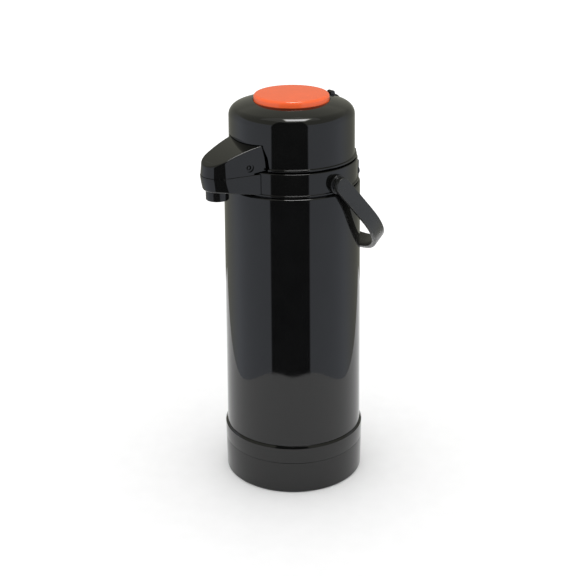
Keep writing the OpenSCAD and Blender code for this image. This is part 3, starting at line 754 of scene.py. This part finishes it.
def make_hinge():
    """The hinge housing with its lower block, the oval release button in it and the lid's knuckle."""
    half = half_x("hinge_block")
    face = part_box("hinge_block")[1].y / MM
    low, step_z = foot("hinge_block"), HINGE_STEP_Z
    upper = HINGE_Y + KNUCKLE_R
    bead_top = COLLAR_FOOT + BEAD_H
    side = rounded([(60, low, 0), (face, low, 2.5), (face, step_z, 2.5), (upper, step_z + 0.6, 0.8),
                    (upper, HINGE_Z + KNUCKLE_R, 3.4), (60, HINGE_Z + KNUCKLE_R - 0.2, 0)])
    housing = prism("hinge_housing", side, -half, half, "x")
    gap_half = KNUCKLE_HALF + 0.3
    cut(housing, drum("body_space", BODY_TOP_R + 0.3, BELOW, COLLAR_FOOT),
        drum("bead_space", BEAD_R + TOUCH, COLLAR_FOOT - 0.1, bead_top),
        drum("collar_space", COLLAR_R + TOUCH, bead_top - 0.1, ABOVE),
        block("knuckle_space", (-gap_half, 55, HINGE_Z - 7), (gap_half, 100, 400)),
        rod("axle_hole", AXLE_HOLE_R, -half - 1, half + 1, (HINGE_Y, HINGE_Z), "x", 40),
        prism("release_space", release_outline(0.3), face - 4.2, face + 2, "y"))
    place(bevel(housing, 0.7, 3), "vessel", "gloss_black", GLOSS, "hinge_block")
    button_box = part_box("release_button")
    release = prism("release_oval", release_outline(0), button_box[0].y / MM, button_box[1].y / MM, "y")
    place(bevel(release, 0.6, 3), "release", "outlet_black", OUTLET, "release_button")
    outline = (arc(HINGE_Y, HINGE_Z, KNUCKLE_R, 180, 360, 16)
               + [(HINGE_Y + 1.2, 379.5), (HINGE_Y - 0.8, 381.8), (60, 382), (60, 374.5),
                  (HINGE_Y - KNUCKLE_R, 374.5)])
    arm = prism("lid_hinge_knuckle", outline, -KNUCKLE_HALF, KNUCKLE_HALF, "x")
    cut(arm, drum("rim_space", LID_RIM_R + TOUCH, BELOW, LID_FOOT + RIM_H),
        drum("lid_space", LID_R + TOUCH, BELOW, 450),
        rod("axle_hole", AXLE_HOLE_R, -20, 20, (HINGE_Y, HINGE_Z), "x", 40))
    place(bevel(arm, 0.4, 3), "lid", "gloss_black", GLOSS, "lid_hinge_arm")


# ---------------------------------------------------------------- handle

ARM_LEN = 52.3
HANG = math.radians(48.5)
STRAP_W, STRAP_T = 17.5, 5.0
BOW_STEPS = 36


def make_handle():
    """A flat strap swept along the arms and the bow, with rounded ends about the pivots."""
    end_r = STRAP_W / 2
    path = []
    for k in range(13):
        s = -end_r * math.cos(math.pi / 2 * k / 12)
        path.append((HANDLE_HALF, s, Vector((1, 0)), 2 * math.sqrt(max(end_r ** 2 - s ** 2, 0.01))))
    path += [(HANDLE_HALF, ARM_LEN * k / 10, Vector((1, 0)), STRAP_W) for k in range(1, 10)]
    for x, s in arc(0, ARM_LEN, HANDLE_HALF, 0, 90, BOW_STEPS):
        path.append((x, s, Vector((x, s - ARM_LEN)).normalized(), STRAP_W))
    path += [(-x, s, Vector((-n.x, n.y)), w) for x, s, n, w in reversed(path[:-1])]
    rows = []
    for x, s, normal, width in path:
        ring = rounded([(0, -width / 2, 1.3), (0, width / 2, 1.3), (-STRAP_T, width / 2, 1.0),
                        (-STRAP_T, -width / 2, 1.0)], 4)
        row = []
        for depth, across in ring:
            px, ps = x + normal.x * depth, s + normal.y * depth
            y = ps * math.cos(HANG) + across * math.sin(HANG)
            z = -ps * math.sin(HANG) + across * math.cos(HANG)
            row.append((px, PIVOT_Y + y, PIVOT_Z + z))
        rows.append(row)
    count = len(rows[0])
    verts = [v for row in rows for v in row]
    faces = [tuple(range(count)), tuple(range(len(verts) - 1, len(verts) - count - 1, -1))]
    for k in range(len(rows) - 1):
        for i in range(count):
            j = (i + 1) % count
            faces.append((k * count + i, k * count + j, (k + 1) * count + j, (k + 1) * count + i))
    strap = finish_mesh("handle_strap", verts, faces, 50)
    place(strap, "handle", "satin_black", SATIN, "handle")


def make_bosses():
    """The two bosses that carry the handle, each a disc with a lower step at its outer end."""
    outer = half_x("pivot_bosses")
    inner = COLLAR_R - 1.2
    pin_r, boss_r, step_r = 4, 10.3, 8.9
    profile = rounded([(pin_r, inner, 0), (boss_r, inner, 0), (boss_r, outer - 2.6, 0.8),
                       (step_r, outer - 2.3, 0.2), (step_r, outer, 0.6), (pin_r, outer, 0.2)])
    bosses = lathe("pivot_boss_pair", profile, 96)
    work = bmesh.new()
    work.from_mesh(bosses.data)
    bmesh.ops.rotate(work, verts=work.verts, matrix=Matrix.Rotation(math.pi / 2, 3, "Y"))
    both = bmesh.ops.duplicate(work, geom=work.verts[:] + work.edges[:] + work.faces[:])
    twin = [v for v in both["geom"] if isinstance(v, bmesh.types.BMVert)]
    bmesh.ops.rotate(work, verts=twin, matrix=Matrix.Rotation(math.pi, 3, "Z"))
    bmesh.ops.translate(work, verts=work.verts, vec=(0, PIVOT_Y * MM, PIVOT_Z * MM))
    work.to_mesh(bosses.data)
    work.free()
    smooth(bosses.data)
    place(bosses, "vessel", "satin_black", OUTLET, "pivot_bosses")


# ---------------------------------------------------------------- stage

VIEW_AZIMUTH = 51.5
VIEW_DISTANCE = 1326.0
VIEW_HEIGHT = 762.0
VIEW_PITCH = 22.2775
VIEW_YAW = 0.2162
VIEW_ROLL = 0.39
LENS = 79.5
SENSOR = 36


def view_axes():
    """The camera's right and outward directions over the floor."""
    a = math.radians(VIEW_AZIMUTH)
    return Vector((math.cos(a), math.sin(a), 0)), Vector((math.sin(a), -math.cos(a), 0))


def turned(first, second, angle):
    """Two square directions, both turned in their own plane by an angle, away from the second."""
    cos, sin = math.cos(angle), math.sin(angle)
    return first * cos - second * sin, second * cos + first * sin


def make_camera():
    right, out = view_axes()
    pitch, yaw, roll = (math.radians(v) for v in (VIEW_PITCH, VIEW_YAW, VIEW_ROLL))
    ahead = -out * math.cos(pitch) - Vector((0, 0, math.sin(pitch)))
    up = -out * math.sin(pitch) + Vector((0, 0, math.cos(pitch)))
    ahead, right = turned(ahead, right, yaw)
    right, up = turned(right, up, roll)
    data = bpy.data.cameras.new("camera")
    data.lens = LENS
    data.sensor_width = SENSOR
    data.clip_end = 50
    camera = bpy.data.objects.new("camera", data)
    camera.matrix_world = Matrix((
        (right.x, up.x, -ahead.x, out.x * VIEW_DISTANCE * MM),
        (right.y, up.y, -ahead.y, out.y * VIEW_DISTANCE * MM),
        (right.z, up.z, -ahead.z, VIEW_HEIGHT * MM),
        (0, 0, 0, 1)))
    bpy.context.scene.collection.objects.link(camera)
    bpy.context.scene.camera = camera


def make_floor():
    """A pale sheet, wider behind the object than in front of it."""
    right, out = view_axes()
    front, side, back, flare = 385, 330, 560, 60
    squareness = 0.8
    shape = [(side * math.copysign(abs(math.cos(t)) ** squareness, math.cos(t)),
              front * math.sin(t) ** squareness) for t in [math.pi * k / 48 for k in range(49)]]
    shape += [(-side - flare, -back), (side + flare, -back)]
    verts = [(right * x + out * y) for x, y in shape]
    floor = finish_mesh("floor", [(v.x, v.y, 0) for v in verts], [tuple(range(len(verts)))])
    mat = surface("floor_white", (0.9, 0.9, 0.9), 0.6, 0.05, 200, 0.02, 0.01)
    floor.data.materials.append(mat)


def make_world():
    """Glossy faces mirror a grey room with one dark gap and a bright box overhead; the rest is even."""
    right, out = view_axes()
    even_glow, box_glow = 1.22, 11
    wall_behind, wall_beside, ceiling, gap_glow = 0.33, 0.74, 0.42, 0.02
    world = bpy.data.worlds.new("studio")
    bpy.context.scene.world = world
    world.use_nodes = True
    nodes, links = world.node_tree.nodes, world.node_tree.links
    nodes.clear()
    coords = nodes.new("ShaderNodeTexCoord")

    def math_node(kind, a, b=None):
        node = nodes.new("ShaderNodeMath")
        node.operation = kind
        for socket, value in zip(node.inputs, (a, b)):
            if isinstance(value, (int, float)):
                socket.default_value = value
            elif value is not None:
                links.new(value, socket)
        return node.outputs[0]

    def toward(direction):
        node = nodes.new("ShaderNodeVectorMath")
        node.operation = "DOT_PRODUCT"
        links.new(coords.outputs["Generated"], node.inputs[0])
        node.inputs[1].default_value = direction
        return node.outputs["Value"]

    def step(value, low, high, start, end):
        node = nodes.new("ShaderNodeMapRange")
        node.interpolation_type = "SMOOTHSTEP"
        node.inputs["From Min"].default_value = low
        node.inputs["From Max"].default_value = high
        node.inputs["To Min"].default_value = start
        node.inputs["To Max"].default_value = end
        links.new(value, node.inputs["Value"])
        return node.outputs["Result"]

    gap_turn = math.radians(-4)
    centre = out * math.cos(gap_turn) + right * math.sin(gap_turn)
    height = toward((0, 0, 1))
    level_squared = math_node("SUBTRACT", 1, math_node("MULTIPLY", height, height))
    level = math_node("SQRT", math_node("MAXIMUM", level_squared, 0.0001))
    ahead = math_node("DIVIDE", toward(tuple(centre)), level)
    in_gap = math_node("MULTIPLY", step(ahead, 0.82, 0.86, 0, 1), step(height, 0.87, 0.94, 1, 0))
    walls = step(ahead, -0.9, -0.1, wall_behind, wall_beside)
    above = step(height, 0.38, 0.5, 0, 1)
    room = math_node("ADD", math_node("MULTIPLY", walls, math_node("SUBTRACT", 1, above)),
                     math_node("MULTIPLY", above, ceiling))
    across, along = toward(tuple(right)), toward(tuple(out))
    box = math_node("MULTIPLY", step(across, -0.14, -0.08, 0, 1), step(across, 0.22, 0.3, 1, 0))
    box = math_node("MULTIPLY", box, step(along, -0.26, -0.18, 0, 1))
    box = math_node("MULTIPLY", box, step(along, 0.16, 0.22, 1, 0))
    box = math_node("MULTIPLY", box, step(height, 0.8, 0.9, 0, 1))
    glow = math_node("ADD", math_node("MULTIPLY", room, step(in_gap, 0, 1, 1, gap_glow)),
                     math_node("MULTIPLY", box, box_glow))
    mirrored = nodes.new("ShaderNodeLightPath").outputs["Is Glossy Ray"]
    strength = math_node("ADD", math_node("MULTIPLY", glow, mirrored),
                         math_node("MULTIPLY", math_node("SUBTRACT", 1, mirrored), even_glow))
    warm = nodes.new("ShaderNodeMix")
    warm.data_type = "RGBA"
    links.new(math_node("MULTIPLY", step(ahead, -0.9, -0.1, 0, 1), math_node("SUBTRACT", 1, above)),
              warm.inputs["Factor"])
    warm.inputs["A"].default_value = (1.02, 1.02, 0.86, 1)
    warm.inputs["B"].default_value = (0.93, 0.98, 1.08, 1)
    tint = nodes.new("ShaderNodeMix")
    tint.data_type = "RGBA"
    links.new(math_node("MULTIPLY", mirrored, math_node("SUBTRACT", 1, box)), tint.inputs["Factor"])
    tint.inputs["A"].default_value = (1, 1, 1, 1)
    links.new(warm.outputs["Result"], tint.inputs["B"])
    background = nodes.new("ShaderNodeBackground")
    links.new(tint.outputs["Result"], background.inputs["Color"])
    links.new(strength, background.inputs["Strength"])
    output = nodes.new("ShaderNodeOutputWorld")
    links.new(background.outputs[0], output.inputs["Surface"])


def make_light():
    """One weak lamp straight overhead, for the soft shadow under the pot."""
    width, height, power = 1400, 1900, 2
    data = bpy.data.lights.new("overhead", "AREA")
    data.shape = "RECTANGLE"
    data.size = width * MM
    data.size_y = width * MM
    data.energy = power
    lamp = bpy.data.objects.new("overhead", data)
    lamp.location = (0, 0, height * MM)
    lamp.rotation_mode = "QUATERNION"
    lamp.rotation_quaternion = Vector((0, 0, -1)).to_track_quat("-Z", "Y")
    bpy.context.scene.collection.objects.link(lamp)


make_camera()
finish_cad_nodes()
make_base()
make_body()
make_collar()
make_spout_housing()
make_nozzle()
make_lever()
make_lid()
make_button()
make_lock()
make_hinge()
make_handle()
make_bosses()
make_floor()
make_world()
make_light()
bpy.context.scene.view_settings.view_transform = "Standard"
